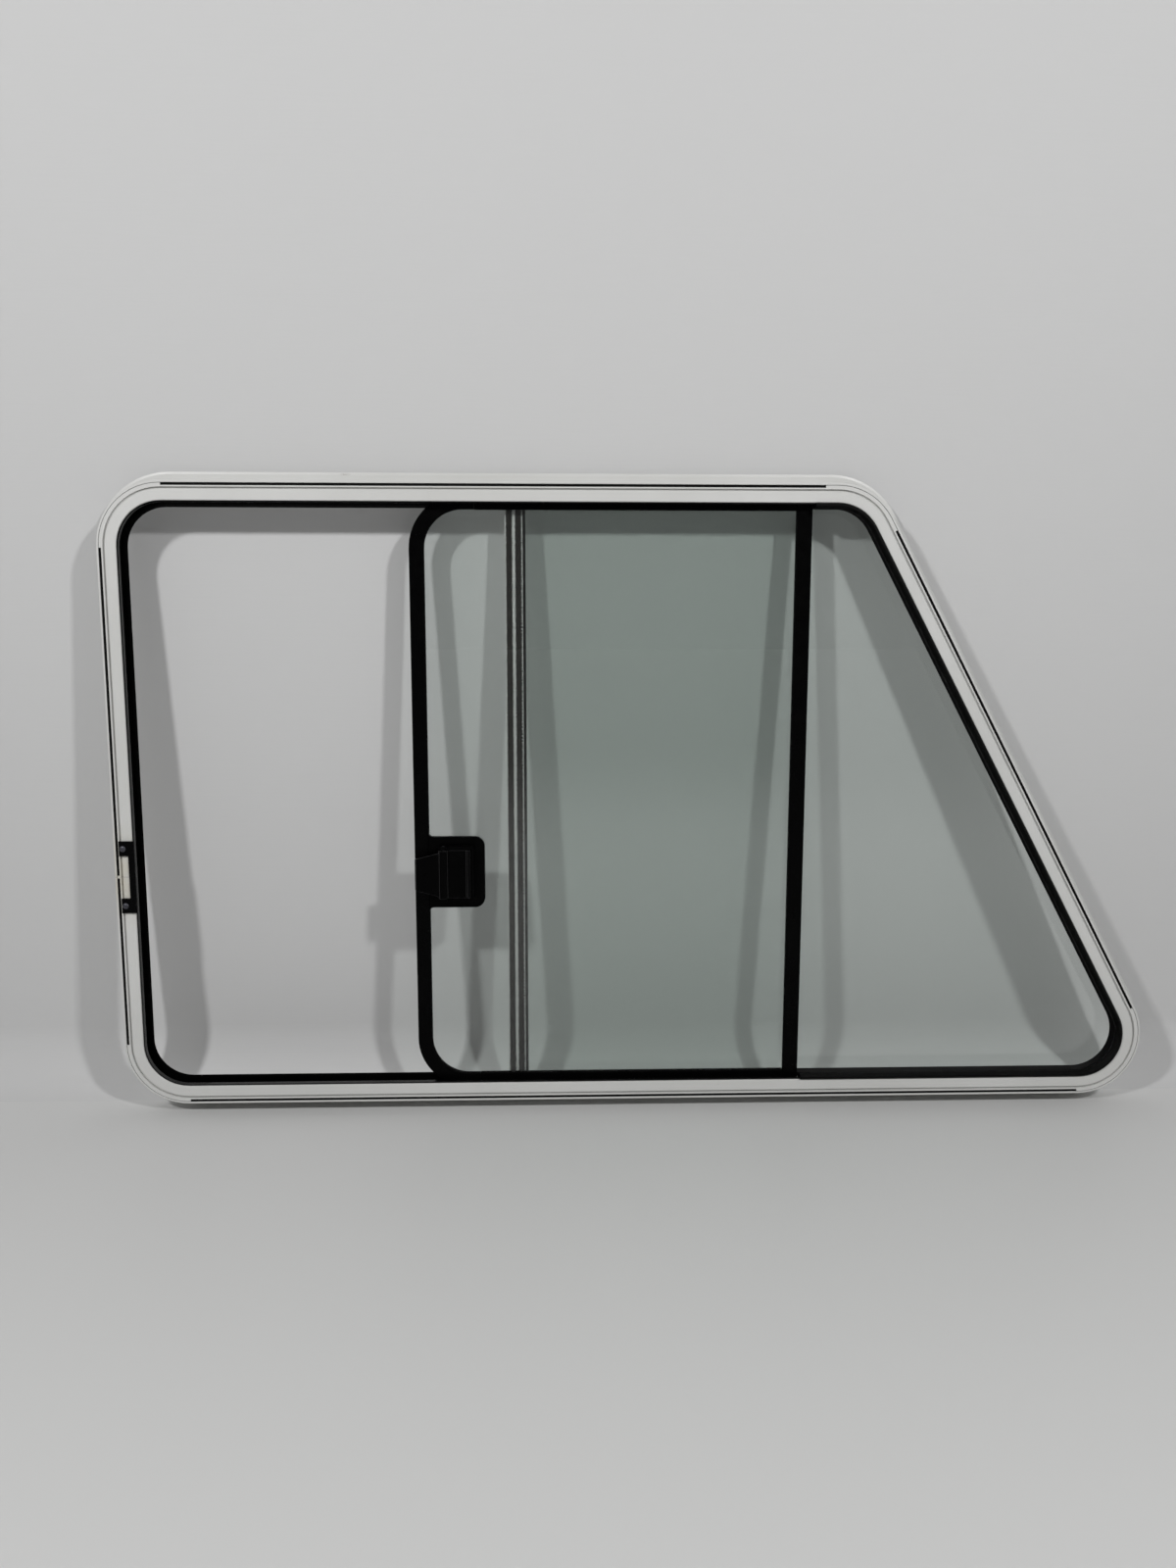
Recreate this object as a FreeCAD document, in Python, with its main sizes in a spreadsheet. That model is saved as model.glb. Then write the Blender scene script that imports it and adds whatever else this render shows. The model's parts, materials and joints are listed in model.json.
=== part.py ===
# Sliding cab window for a motorhome: bent white aluminium frame, black rubber, two panes of tinted glass.
# X runs along the sill, to the right as seen from inside the cab. Y points out of the vehicle. Z is up.
# The origin is on the face of the flange that bears on the vehicle's outer skin, halfway along the sill.
import FreeCAD
import Part
import Sketcher
import math
import os
import re

# Driving dimensions, in millimetres and degrees, with what each one measures
SIZES = [
    ("daylight_length", 1014.2, "frame's inner edge along the sill, sharp corner to sharp corner"),
    ("daylight_height", 571.0, "frame's inner edge, sill to head"),
    ("slant_angle", 28.65, "lean of the right side from upright"),
    ("bend_radius", 43.0, "inner edge, all four corners"),
    ("wall_depth", 31.0, "flange seat to the front of the inside band"),
    ("flange_thickness", 3.0, "leg on the vehicle's outer skin"),
    ("flange_width", 10.8, "flange beyond the wall of the frame"),
    ("rim_width", 2.2, "sloped rim along the flange's outer edge"),
    ("rim_drop", 0.6, "sloped rim along the flange's outer edge"),
    ("web_setback", 7.0, "flange's inner edge beyond the band's inner edge"),
    ("band_width", 10.8, "flat band that shows inside"),
    ("band_thickness", 3.0, "metal of the band"),
    ("edge_round", 0.6, "chamfers on the front edges of the frame"),
    ("seam_width", 1.6, "fine groove beside the band"),
    ("seam_depth", 2.2, "fine groove beside the band"),
    ("lip_width", 1.3, "lip between the groove and the slot"),
    ("slot_width", 2.7, "slot for the black insert strip"),
    ("slot_depth", 9.0, "slot for the black insert strip"),
    ("slot_floor", 2.0, "metal under the slot"),
    ("slot_setback", 0.5, "slot's end from the start of a bend"),
    ("blunt_setback", 12.0, "slot's end from the start of the blunt bend"),
    ("crease_width", 0.5, "fine groove round the bends, along the slot's outer side"),
    ("crease_depth", 1.2, "fine groove round the bends, along the slot's outer side"),
    ("fin_width", 2.0, "outer wall of the frame"),
    ("seam_bridge", 2.4, "metal left between the two slots at the frame's butt joint"),
    ("strip_recess", 0.7, "insert strip below the front of the frame"),
    ("strip_fit", 0.1, "insert strip to the slot, each side"),
    ("rubber_fit", 0.3, "rubber to the metal round it"),
    ("nose_front", 0.9, "track rubber's front edge below the front of the band"),
    ("nose_width", 1.15, "track rubber's front edge"),
    ("nose_depth", 5.7, "end of the front leg's smooth side, below the front of the band"),
    ("nose_undercut", 2.0, "front leg falling back towards the track"),
    ("wiper_reach", 5.0, "track rubber's rear lip into the opening from the frame's inner edge"),
    ("wiper_root", 1.1, "rear lip where it leaves the channel"),
    ("wiper_tip", 0.35, "rear lip at its tip"),
    ("rear_setback", 4.5, "rubbers behind the rear lip, beyond the band's inner edge"),
    ("track_front", 21.5, "front of the sliding track, in from the seat"),
    ("track_rear", 13.6, "rear of the sliding track, in from the seat"),
    ("track_floor", 8.8, "floor of the sliding track beyond the inner edge"),
    ("divider_rear", 8.7, "rear of the rubber between the panes"),
    ("seal_proud", 0.9, "outer seal standing out from the seat face"),
    ("filler_proud", 2.6, "filler's bead in front of the band"),
    ("filler_round", 1.4, "chamfers of the filler's bead"),
    ("filler_flat", 1.6, "flat top of the filler's bead"),
    ("filler_reach", 6.2, "filler's bead into the opening from the frame's inner edge"),
    ("filler_front", 27.5, "inner corner of the filler's bead, in from the seat"),
    ("filler_waist", 0.6, "filler behind its bead, into the opening from the frame's inner edge"),
    ("filler_back", 15.0, "filler's waist, in from the seat"),
    ("filler_lip", 4.6, "filler's rear lip into the opening from the frame's inner edge"),
    ("butt_gap", 0.3, "between the ends of two rubbers"),
    ("glass_thickness", 4.0, "both panes"),
    ("fixed_glass_rear", 3.0, "outer face of the fixed pane, in from the seat"),
    ("fixed_glass_reach", 9.0, "fixed pane's edge beyond the inner edge"),
    ("glass_fit", 0.2, "glass in its grooves"),
    ("glass_edge_gap", 0.6, "fixed pane's edge to the bottom of its groove"),
    ("sliding_glass_rear", 15.0, "outer face of the sliding pane, in from the seat"),
    ("head_run_rest", 21.7, "open pane's trailing edge to the start of the blunt bend"),
    ("pane_width", 384.7, "sliding pane with its edge trims"),
    ("pane_reach", 8.0, "closed pane's edges beyond the inner edge"),
    ("shut_gap", 0.6, "shut pane short of lying even with the track"),
    ("pane_stop", 0.5, "open pane's trailing edge to the filler rubber"),
    ("trim_width", 14.3, "leading trim over the glass"),
    ("trim_web", 1.5, "edge trims outside the glass edge"),
    ("trim_front", 1.3, "edge trims in front of the glass"),
    ("trim_back", 0.8, "edge trims behind the glass"),
    ("trim_bevel", 0.8, "edge trims, front edges"),
    ("trim_return", 62.0, "leading trim along the top and bottom"),
    ("bar_width", 15.1, "trailing bar"),
    ("foot_trim_width", 14.6, "trim along the foot of the sliding pane"),
    ("head_trim_width", 14.6, "trim along the head of the sliding pane"),
    ("post_cover", 16.3, "shut pane's trailing edge beyond the post's left side"),
    ("post_rib", 1.8, "outer ribs of the post"),
    ("post_middle", 4.0, "middle rib of the post"),
    ("brush_width", 4.75, "brush grooves of the post"),
    ("brush_groove", 3.0, "depth of the brush grooves"),
    ("brush_gap", 0.3, "brush tips to the trims of the sliding pane"),
    ("brush_fit", 0.15, "brush backing in its groove"),
    ("post_front", 12.2, "front of the post, in from the seat"),
    ("post_back", 0.4, "back of the post, in from the seat"),
    ("post_glass_seat", 7.6, "depth of the post's groove for the fixed pane"),
    ("post_glass_gap", 0.6, "fixed pane's edge to the floor of that groove"),
    ("post_end_gap", 0.3, "post's ends to the rubbers"),
    ("post_bead_width", 2.7, "black glazing bead beside the post"),
    ("latch_height", 215.0, "sill's inner edge to the middle of the latch"),
    ("latch_plate_height", 70.8, "latch plate on the glass"),
    ("latch_plate_width", 54.6, "latch plate beyond the leading trim"),
    ("latch_plate_thickness", 5.0, "latch plate on the glass"),
    ("latch_plate_radius", 10.0, "free corners of the latch plate"),
    ("latch_plate_fillet", 4.0, "hollow corners beside the leading trim"),
    ("box_offset", 24.6, "pane's leading edge to the latch box"),
    ("box_length", 34.2, "latch box along the sill"),
    ("box_height", 54.4, "latch box outside"),
    ("box_wall", 2.4, "latch box"),
    ("box_rise", 10.0, "latch box in front of its plate"),
    ("pin_offset", 4.6, "latch box's open end to the pivot"),
    ("pin_rise", 6.0, "pivot in front of the latch plate"),
    ("pin_radius", 1.5, "pivot pin"),
    ("pin_fit", 0.3, "pivot pin in the lever"),
    ("pin_seat_fit", 0.05, "pivot pin in the latch box"),
    ("lever_side_gap", 1.0, "lever to the latch box walls"),
    ("hub_radius", 3.6, "lever round its pivot"),
    ("barrel_half", 3.9, "half the width of the lever's barrel"),
    ("barrel_crown", 1.5, "lever's barrel in front of the tongue"),
    ("tongue_thickness", 3.0, "tongue of the lever"),
    ("tongue_tip_height", 30.0, "tongue at its tip"),
    ("tongue_root_height", 43.0, "tongue at the latch box"),
    ("tongue_inset", 1.1, "pane's leading edge to the tongue's tip"),
    ("tongue_gap", 0.6, "tongue in front of the keeper"),
    ("beak_length", 1.8, "beak along the tongue"),
    ("beak_gap", 0.7, "beak to the frame's band when shut"),
    ("beak_lead", 1.4, "ramp on the beak's leading side"),
    ("catch_gap", 0.5, "beak to the keeper's upright when shut"),
    ("paddle_tip_gap", 1.2, "paddle's end to the end wall of the latch box"),
    ("paddle_thickness", 3.0, "paddle of the lever"),
    ("paddle_dish", 1.6, "finger hollow in the paddle"),
    ("paddle_rim", 2.4, "rim at the paddle's end"),
    ("boss_half", 3.2, "half the width of the bosses round the pin"),
    ("boss_rise", 1.8, "bosses in front of the latch box"),
    ("keeper_thickness", 2.0, "keeper on the band"),
    ("keeper_drop", 1.4, "keeper's middle below the middle of the latch"),
    ("keeper_height", 71.0, "keeper"),
    ("keeper_ear", 14.5, "height of each of the keeper's ears"),
    ("keeper_upright", 6.0, "keeper's upright along the sill"),
    ("keeper_ear_length", 8.6, "keeper's ears beyond the upright"),
    ("keeper_round", 1.5, "keeper's corners beside the glass"),
    ("keeper_hole_radius", 1.6, "screw holes of the keeper"),
    ("keeper_hole_inset", 3.9, "screw holes from the ears' ends"),
]

doc = FreeCAD.newDocument("CabWindow")
sheet = doc.addObject("Spreadsheet::Sheet", "Sizes")
for row, (alias, number, meaning) in enumerate(SIZES, start=1):
    sheet.set(f"A{row}", meaning)
    sheet.set(f"B{row}", str(number))
    sheet.setAlias(f"B{row}", alias)
doc.recompute()

ALIASES = {alias for alias, number, meaning in SIZES}


def bound(text):
    """A formula in plain size names, written as the sheet's cells."""
    return re.sub(r"[a-z_]+", lambda m: "Sizes." + m[0] if m[0] in ALIASES else m[0], text)


def value(text):
    """The number that such a formula gives."""
    return float(sheet.evalExpression(bound(text)))


# Lines of the frame. Distances outward from its inner edge are called reach.
LEFT = "(-daylight_length / 2)"
SEAM = "band_width"
LIP = "(band_width + seam_width)"
SLOT = "(band_width + seam_width + lip_width)"
FIN = "(band_width + seam_width + lip_width + slot_width)"
WALL = "(band_width + seam_width + lip_width + slot_width + fin_width)"
FLANGE = "(band_width + seam_width + lip_width + slot_width + fin_width + flange_width)"
SILL = f"({WALL} + flange_width / 2)"
HEAD = f"({SILL} + daylight_height)"


def slant_x(z):
    """Inner edge of the slanted side at a height."""
    return f"(daylight_length / 2 - ({z} - {SILL}) * tan(slant_angle))"


def point(x, z):
    """A sharp corner of an outline."""
    return {"x": x, "z": z}


def bend(x, z, radius, start, end, hollow=False):
    """A round corner of an outline, from one angle to another. A hollow one is passed backwards."""
    return {"x": x, "z": z, "radius": radius, "start": start, "end": end, "hollow": hollow}


def frame_bends(reach):
    """The frame's four corners at a reach: bottom right, top right, top left, bottom left."""
    low_z, high_z = f"({SILL} + bend_radius)", f"({HEAD} - bend_radius)"
    low_x = f"({slant_x(low_z)} - bend_radius / cos(slant_angle))"
    high_x = f"({slant_x(high_z)} - bend_radius / cos(slant_angle))"
    left_x, radius = f"({LEFT} + bend_radius)", f"(bend_radius + {reach})"
    return [
        bend(low_x, low_z, radius, "-90", "slant_angle"),
        bend(high_x, high_z, radius, "slant_angle", "90"),
        bend(left_x, high_z, radius, "90", "180"),
        bend(left_x, low_z, radius, "180", "270"),
    ]


# Sketches and solids
def new_body(label):
    body = doc.addObject("PartDesign::Body", label)
    body.Label = label
    return body


def new_sketch(body, role, offset):
    """A sketch on one of the body's own planes, moved along the plane's normal."""
    sketch = body.newObject("Sketcher::SketchObject", f"{body.Name}_sketch")
    plane = [item for item in body.Origin.OriginFeatures if item.Role == role][0]
    sketch.AttachmentSupport = [(plane, "")]
    sketch.MapMode = "FlatFace"
    sketch.setExpression("AttachmentOffset.Base.z", bound(offset))
    return sketch


def fix(sketch, kind, geometry, position, formula):
    """Holds a coordinate or a radius at a formula."""
    if kind == "Radius":
        constraint = Sketcher.Constraint(kind, geometry, value(formula))
    else:
        constraint = Sketcher.Constraint(kind, -1, 1, geometry, position, value(formula))
    index = sketch.addConstraint(constraint)
    name = f"{kind}_{geometry}_{position}"
    sketch.renameConstraint(index, name)
    sketch.setExpression(f"Constraints.{name}", bound(formula))


def entry(station):
    """Where an outline reaches a corner, as a vector."""
    return on_bend(station, "end" if station.get("hollow") else "start")


def leave(station):
    """Where an outline leaves a corner, as a vector."""
    return on_bend(station, "start" if station.get("hollow") else "end")


def on_bend(station, which):
    centre = FreeCAD.Vector(value(station["x"]), value(station["z"]), 0)
    if "radius" not in station:
        return centre
    angle = math.radians(value(station[which]))
    radius = value(station["radius"])
    return centre + FreeCAD.Vector(radius * math.cos(angle), radius * math.sin(angle), 0)


def draw(sketch, stations, closed=True):
    """Draws corners and the straight runs between them."""
    arcs = {}
    for index, station in enumerate(stations):
        if "radius" in station:
            centre = FreeCAD.Vector(value(station["x"]), value(station["z"]), 0)
            circle = Part.Circle(centre, FreeCAD.Vector(0, 0, 1), value(station["radius"]))
            start, end = math.radians(value(station["start"])), math.radians(value(station["end"]))
            arcs[index] = sketch.addGeometry(Part.ArcOfCircle(circle, start, end))
            fix(sketch, "DistanceX", arcs[index], 3, station["x"])
            fix(sketch, "DistanceY", arcs[index], 3, station["z"])
            fix(sketch, "Radius", arcs[index], 0, station["radius"])
    count = len(stations)
    runs = {}
    for index in range(count if closed else count - 1):
        here, there = stations[index], stations[(index + 1) % count]
        runs[index] = sketch.addGeometry(Part.LineSegment(leave(here), entry(there)))
    for index, station in enumerate(stations):
        before, after = runs.get((index - 1) % count), runs.get(index)
        if index in arcs:
            first, last = (2, 1) if station["hollow"] else (1, 2)
            if before is not None:
                sketch.addConstraint(Sketcher.Constraint("Tangent", before, 2, arcs[index], first))
            if after is not None:
                sketch.addConstraint(Sketcher.Constraint("Tangent", arcs[index], last, after, 1))
            continue
        if before is not None and after is not None:
            sketch.addConstraint(Sketcher.Constraint("Coincident", before, 2, after, 1))
        geometry, position = (after, 1) if after is not None else (before, 2)
        fix(sketch, "DistanceX", geometry, position, station["x"])
        fix(sketch, "DistanceY", geometry, position, station["z"])


def outline(body, role, offset, *loops):
    sketch = new_sketch(body, role, offset)
    for stations in loops:
        draw(sketch, stations)
    return sketch


def pad(body, sketch, length, both_ways=False):
    """Extrudes a sketch along its normal: inward into the cab, along the sill, or up."""
    feature = body.newObject("PartDesign::Pad", f"{body.Name}_pad")
    feature.Profile = sketch
    feature.Midplane = both_ways
    feature.setExpression("Length", bound(length))
    doc.recompute()
    return feature


def pocket(body, sketch, length, both_ways=False, along_normal=False):
    """Cuts a sketch into the body, and makes sure that it took metal away."""
    before = body.Shape.Volume
    feature = body.newObject("PartDesign::Pocket", f"{body.Name}_pocket")
    feature.Profile = sketch
    feature.Midplane = both_ways
    feature.Reversed = along_normal
    feature.setExpression("Length", bound(length))
    doc.recompute()
    if not body.Shape.Volume < before:
        raise RuntimeError(f"a pocket of {body.Label} cuts nothing")
    return feature


def plate(label, stations, rear, thickness):
    """A flat piece drawn as seen from inside, from a depth forward into the cab."""
    body = new_body(label)
    pad(body, outline(body, "XZ_Plane", rear, stations), thickness)
    return body


def swept(label, path, start, section):
    """A section, in height and depth, carried along a path that starts at a place on the sill or head."""
    body = new_body(label)
    spine = new_sketch(body, "XZ_Plane", "0")
    draw(spine, path, closed=False)
    profile = outline(body, "YZ_Plane", start, [point(f"(-({depth}))", z) for z, depth in section])
    doc.recompute()
    pipe = body.newObject("PartDesign::AdditivePipe", f"{label}_pipe")
    pipe.Profile = profile
    pipe.Spine = spine
    doc.recompute()
    return body


def below(reach):
    """Height of a reach at the sill."""
    return f"({SILL} - ({reach}))"


def above(reach):
    """Height of a reach at the head."""
    return f"({HEAD} + ({reach}))"


def placed(section, height):
    """A section given as reach and depth, as heights at the sill or the head."""
    return [(height(reach), depth) for reach, depth in section]


# Outer frame: one extrusion bent to shape. Its section has the flange, the wall, the inside band and
# the channel for the rubbers. The slots for the insert strips are cut on the straight runs only.
FRONT = "wall_depth"
BAND_BACK = "(wall_depth - band_thickness)"
STEP = "(wall_depth - slot_depth - slot_floor)"
FRAME_SECTION = [
    (FLANGE, "(-rim_drop)"),
    (FLANGE, "(-flange_thickness)"),
    ("web_setback", "(-flange_thickness)"),
    ("web_setback", "0"),
    (FIN, "0"),
    (FIN, STEP),
    (LIP, STEP),
    (LIP, BAND_BACK),
    ("0", BAND_BACK),
    ("0", "(wall_depth - edge_round)"),
    ("edge_round", FRONT),
    (f"({SEAM} - edge_round)", FRONT),
    (SEAM, "(wall_depth - edge_round)"),
    (SEAM, "(wall_depth - seam_depth)"),
    (LIP, "(wall_depth - seam_depth)"),
    (LIP, FRONT),
    (f"({WALL} - edge_round)", FRONT),
    (WALL, "(wall_depth - edge_round)"),
    (WALL, "0"),
    (f"({FLANGE} - rim_width)", "0"),
]
LATCH_Z = f"({SILL} + latch_height)"
KEEPER_Z = f"({LATCH_Z} - keeper_drop)"


def level_slot(x_from, x_to, height, side, end):
    """A slot along the sill or the head."""
    low, high = height(f"{SLOT} + {side}"), height(f"{FIN} - {side}")
    left, right = f"({x_from} + {end})", f"({x_to} - {end})"
    return [point(left, low), point(right, low), point(right, high), point(left, high)]


def upright_slot(z_from, z_to, side, end):
    """A slot in the left side."""
    left, right = f"({LEFT} - {FIN} + {side})", f"({LEFT} - {SLOT} - {side})"
    low, high = f"({z_from} + {end})", f"({z_to} - {end})"
    return [point(left, low), point(right, low), point(right, high), point(left, high)]


def slanted_slot(side, end):
    """The slot in the slanted side, between the ends of its two bends."""
    low, high = frame_bends("0")[0:2]
    corners = []
    for reach, corner, run in (
        (f"{SLOT} + {side}", low, f"slot_setback + {end}"),
        (f"{FIN} - {side}", low, f"slot_setback + {end}"),
        (f"{FIN} - {side}", high, f"-blunt_setback - {end}"),
        (f"{SLOT} + {side}", high, f"-blunt_setback - {end}"),
    ):
        out, along = f"({corner['radius']} + {reach})", f"({run})"
        corners.append(point(
            f"({corner['x']} + {out} * cos(slant_angle) - {along} * sin(slant_angle))",
            f"({corner['z']} + {out} * sin(slant_angle) + {along} * cos(slant_angle))",
        ))
    return corners


def slots(side, end):
    """The five slots by name, narrowed and shortened by a clearance."""
    low, high, top, bottom = frame_bends("0")
    from_x = f"({top['x']} + slot_setback)"
    joint_low, joint_high = f"({KEEPER_Z} - seam_bridge / 2)", f"({KEEPER_Z} + seam_bridge / 2)"
    return {
        "head": level_slot(from_x, f"({high['x']} - blunt_setback)", above, side, end),
        "sill": level_slot(from_x, f"({low['x']} - slot_setback)", below, side, end),
        "left_upper": upright_slot(joint_high, f"({top['z']} - slot_setback)", side, end),
        "left_lower": upright_slot(f"({bottom['z']} + slot_setback)", joint_low, side, end),
        "slant": slanted_slot(side, end),
    }


ring = [point("0", SILL)] + frame_bends("0") + [point("0", SILL)]
frame = swept("outer_frame", ring, "0", placed(FRAME_SECTION, below))
pocket(frame, outline(frame, "XZ_Plane", FRONT, *slots("0", "0").values()), "slot_depth")
crease = (frame_bends(FIN), frame_bends(f"({FIN} - crease_width)"))
pocket(frame, outline(frame, "XZ_Plane", FRONT, *crease), "crease_depth")

# Insert strips: black cords pressed into the slots
for place, stations in slots("strip_fit", "strip_fit").items():
    plate(f"insert_strip_{place}", stations, f"({FRONT} - slot_depth + strip_fit)",
          "slot_depth - strip_recess - strip_fit")

# Rubbers in the frame's channel. They share the root that fills the channel behind the band.
PANE_RIGHT = f"({frame_bends('0')[1]['x']} - head_run_rest)"
PANE_LEFT = f"({PANE_RIGHT} - pane_width)"
SHUT_LEFT = f"({LEFT} - pane_reach + shut_gap)"
TRACK_END = f"({PANE_RIGHT} + pane_stop - butt_gap)"
FILLER_START = f"({PANE_RIGHT} + pane_stop)"
POST_LEFT = f"({SHUT_LEFT} + pane_width - post_cover)"
POST_WIDTH = "(2 * post_rib + 2 * brush_width + post_middle)"
POST_RIGHT = f"({POST_LEFT} + {POST_WIDTH})"
GLASS_LEFT = f"({POST_RIGHT} - post_glass_seat + post_glass_gap)"
SEAL_END = f"({GLASS_LEFT} - 2 * butt_gap)"
GASKET_START = f"({GLASS_LEFT} - butt_gap)"

SHALLOW = f"({LIP} - rubber_fit)"
DEEP = f"({FIN} - rubber_fit)"
INNER_EDGE = "(-rubber_fit)"
NOSE_END = "(-rubber_fit - nose_width)"
ROOT = [
    (DEEP, f"({STEP} - rubber_fit)"),
    (SHALLOW, f"({STEP} - rubber_fit)"),
    (SHALLOW, f"({BAND_BACK} - rubber_fit)"),
    (INNER_EDGE, f"({BAND_BACK} - rubber_fit)"),
]
WIPER_EDGE = "(-wiper_reach)"
WIPER_BACK = "(track_rear - wiper_root)"
REAR_EDGE = "rear_setback"
TRACK_SECTION = ROOT + [
    (INNER_EDGE, f"({FRONT} - nose_front)"),
    (NOSE_END, f"({FRONT} - nose_front)"),
    (NOSE_END, f"({FRONT} - nose_depth)"),
    (f"({NOSE_END} + nose_undercut)", "track_front"),
    ("track_floor", "track_front"),
    ("track_floor", "track_rear"),
    (WIPER_EDGE, "track_rear"),
    (WIPER_EDGE, "(track_rear - wiper_tip)"),
    (REAR_EDGE, WIPER_BACK),
    (REAR_EDGE, "divider_rear"),
    (DEEP, "divider_rear"),
]
BEAD_FACE = f"({FRONT} + filler_proud)"
FILLER_SECTION = ROOT + [
    (INNER_EDGE, f"({BEAD_FACE} - filler_round)"),
    (f"({INNER_EDGE} - filler_round)", BEAD_FACE),
    (f"({INNER_EDGE} - filler_round - filler_flat)", BEAD_FACE),
    ("(filler_round / 2 - filler_reach)", "(filler_front + 2 * filler_round)"),
    ("(-filler_reach)", "filler_front"),
    ("(-filler_waist)", "filler_back"),
    ("(-filler_lip)", WIPER_BACK),
    (REAR_EDGE, "divider_rear"),
    (DEEP, "divider_rear"),
]
SEAL_FRONT = "(divider_rear - rubber_fit)"
SEAL_BACK = "(web_setback - rubber_fit)"
GROOVE = "(fixed_glass_reach + glass_edge_gap)"
SEAL_LIP = [
    (REAR_EDGE, "seal_proud"),
    ("(rear_setback + seal_proud)", "(-seal_proud)"),
    (SEAL_BACK, "(-seal_proud)"),
    (SEAL_BACK, "rubber_fit"),
    (DEEP, "rubber_fit"),
    (DEEP, SEAL_FRONT),
]
SEAL_SECTION = [(REAR_EDGE, SEAL_FRONT)] + SEAL_LIP
GLASS_OUT = "(fixed_glass_rear - glass_fit)"
GLASS_IN = "(fixed_glass_rear + glass_thickness + glass_fit)"
GASKET_SECTION = [
    (REAR_EDGE, SEAL_FRONT),
    (REAR_EDGE, GLASS_IN),
    (GROOVE, GLASS_IN),
    (GROOVE, GLASS_OUT),
    (REAR_EDGE, GLASS_OUT),
] + SEAL_LIP


def left_path(x):
    """From the head, round the left side, to the sill."""
    return [point(x, HEAD)] + frame_bends("0")[2:4] + [point(x, SILL)]


def right_path(x):
    """From the sill, round the slanted side, to the head."""
    return [point(x, SILL)] + frame_bends("0")[0:2] + [point(x, HEAD)]


swept("track_rubber", left_path(TRACK_END), TRACK_END, placed(TRACK_SECTION, above))
swept("outer_seal", left_path(SEAL_END), SEAL_END, placed(SEAL_SECTION, above))
swept("filler_rubber", right_path(FILLER_START), FILLER_START, placed(FILLER_SECTION, below))
swept("glazing_gasket", right_path(GASKET_START), GASKET_START, placed(GASKET_SECTION, below))

# Fixed pane, in the gasket on three sides and in the post on the fourth
fixed_edge = [point(GLASS_LEFT, below("fixed_glass_reach"))]
fixed_edge += frame_bends("fixed_glass_reach")[0:2]
fixed_edge += [point(GLASS_LEFT, above("fixed_glass_reach"))]
plate("fixed_glass", fixed_edge, "fixed_glass_rear", "glass_thickness")


# Post: an extrusion with two grooves for brushes and one for the fixed pane
def across(x, depth):
    """A place in a level section: along the sill, and in from the flange seat."""
    return point(x, f"(-({depth}))")


POST_FLOOR = "(post_front - brush_groove)"
GROOVE_ONE = f"({POST_LEFT} + post_rib)"
GROOVE_TWO = f"({POST_LEFT} + post_rib + brush_width + post_middle)"
POST_FOOT = below("rear_setback - post_end_gap")
POST_LENGTH = "(daylight_height + 2 * rear_setback - 2 * post_end_gap)"
post_section = [across(POST_LEFT, "post_back"), across(POST_RIGHT, "post_back")]
post_section += [across(POST_RIGHT, GLASS_OUT)]
post_section += [across(f"({POST_RIGHT} - post_glass_seat)", depth) for depth in (GLASS_OUT, GLASS_IN)]
post_section += [across(POST_RIGHT, GLASS_IN), across(POST_RIGHT, "post_front")]
for groove in (GROOVE_TWO, GROOVE_ONE):
    right = f"({groove} + brush_width)"
    post_section += [across(right, "post_front"), across(right, POST_FLOOR)]
    post_section += [across(groove, POST_FLOOR), across(groove, "post_front")]
post_section += [across(POST_LEFT, "post_front")]
post = new_body("post")
pad(post, outline(post, "XY_Plane", POST_FOOT, post_section), POST_LENGTH)


def block(label, x, depth, z, length, width, height):
    """A plain bar from its left end, its outermost depth and its foot."""
    bar = doc.addObject("Part::Box", label)
    bar.Label = label
    bar.setExpression("Length", bound(length))
    bar.setExpression("Width", bound(width))
    bar.setExpression("Height", bound(height))
    bar.setExpression("Placement.Base.x", bound(x))
    bar.setExpression("Placement.Base.y", bound(f"(-({depth}))"))
    bar.setExpression("Placement.Base.z", bound(z))
    return bar


TRIM_REAR = "(sliding_glass_rear - glass_fit - trim_back)"
TRIM_FACE = "(sliding_glass_rear + glass_thickness + glass_fit + trim_front)"
BRUSH_TIP = f"({TRIM_REAR} - brush_gap)"
# The brushes stop short of the track's rear lip, which passes in front of the post
BRUSH_FOOT = below("-wiper_reach - post_end_gap")
BRUSH_LENGTH = "(daylight_height - 2 * wiper_reach - 2 * post_end_gap)"
for place, groove in (("left", GROOVE_ONE), ("right", GROOVE_TWO)):
    block(f"brush_{place}", f"{groove} + brush_fit", BRUSH_TIP, BRUSH_FOOT,
          "brush_width - 2 * brush_fit", f"{BRUSH_TIP} - {POST_FLOOR}", BRUSH_LENGTH)
block("post_bead", POST_RIGHT, "post_front", POST_FOOT,
      "post_bead_width", f"post_front - {GLASS_IN} + glass_fit", POST_LENGTH)

# Sliding pane: glass with a trim on each edge. Its left corners lie along the track when it is shut.
PANE_RADIUS = "(bend_radius + pane_reach)"


def pane_bends(inset):
    """The pane's two round corners, top left and bottom left."""
    x, radius = f"({PANE_LEFT} + {PANE_RADIUS})", f"({PANE_RADIUS} - {inset})"
    return [
        bend(x, f"({above('pane_reach')} - {PANE_RADIUS})", radius, "90", "180"),
        bend(x, f"({below('pane_reach')} + {PANE_RADIUS})", radius, "180", "270"),
    ]


GLASS_RIGHT = f"({PANE_RIGHT} - trim_web)"
GLASS_HEAD, GLASS_FOOT = above("pane_reach - trim_web"), below("pane_reach - trim_web")
pane_edge = [point(GLASS_RIGHT, GLASS_HEAD)] + pane_bends("trim_web") + [point(GLASS_RIGHT, GLASS_FOOT)]
plate("sliding_glass", pane_edge, "sliding_glass_rear", "glass_thickness")


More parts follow.
